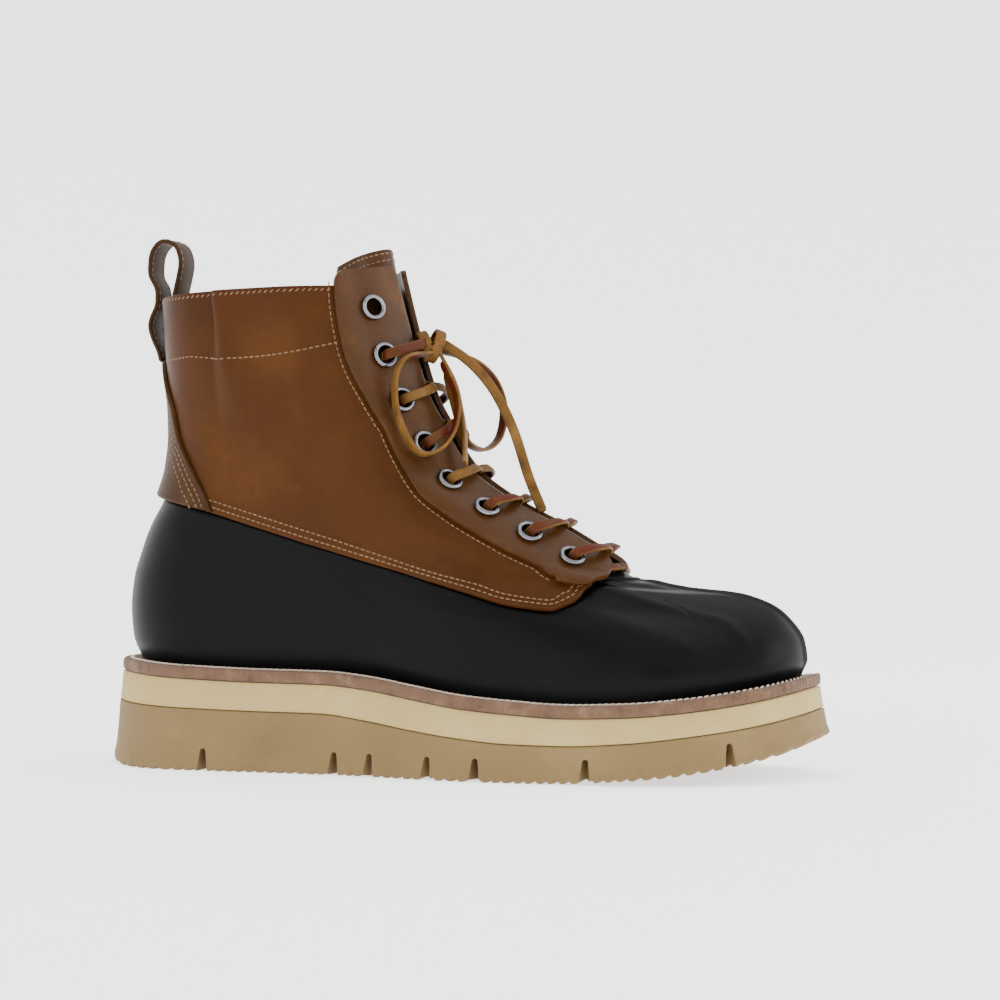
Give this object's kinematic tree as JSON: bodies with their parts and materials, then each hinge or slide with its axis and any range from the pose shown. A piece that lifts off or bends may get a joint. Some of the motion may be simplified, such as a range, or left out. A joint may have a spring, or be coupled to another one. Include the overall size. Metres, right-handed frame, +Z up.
{
  "type": "duck boot",
  "caption": "Right duck boot: black moulded rubber shell, tan leather shaft with eyestays, flat rawhide lace tied in a bow, pull loop, stitched welt and lugged rubber sole",
  "frame": {"origin": "on the floor under the middle of the outsole's plan box", "axes": "+X from the heel to the toe, +Y to the medial side of the right boot, +Z up"},
  "size_m": [0.3104, 0.1144, 0.2264],
  "materials": {
    "outsole": "matte khaki rubber",
    "midsole": "matte cream rubber",
    "welt": "rough undyed leather, cut edge",
    "insole": "flat leather board",
    "rubber_shell": "satin black moulded rubber",
    "leather_shaft": "waxed full grain leather",
    "leather_trim": "waxed full grain leather, worn",
    "eyelets": "plated, satin",
    "laces": "waxed rawhide"
  },
  "bodies": {
    "root": {"outsole": "outsole", "midsole": "midsole", "welt": "welt", "insole": "insole", "rubber_shell": "rubber_shell", "leather_shaft": "leather_shaft", "backstay": "leather_trim", "eyestay_lateral": "leather_trim", "eyestay_medial": "leather_trim", "tongue": "leather_trim", "pull_loop": "leather_trim", "eyelet_lateral_1": "eyelets", "eyelet_lateral_2": "eyelets", "eyelet_lateral_3": "eyelets", "eyelet_lateral_4": "eyelets", "eyelet_lateral_5": "eyelets", "eyelet_lateral_6": "eyelets", "eyelet_lateral_7": "eyelets", "eyelet_lateral_8": "eyelets", "eyelet_medial_1": "eyelets", "eyelet_medial_2": "eyelets", "eyelet_medial_3": "eyelets", "eyelet_medial_4": "eyelets", "eyelet_medial_5": "eyelets", "eyelet_medial_6": "eyelets", "eyelet_medial_7": "eyelets", "eyelet_medial_8": "eyelets", "lace_crossings": "laces", "lace_knot": "laces", "lace_loop_left": "laces", "lace_loop_right": "laces", "lace_end_left": "laces", "lace_end_right": "laces"}
  },
  "joints": []
}
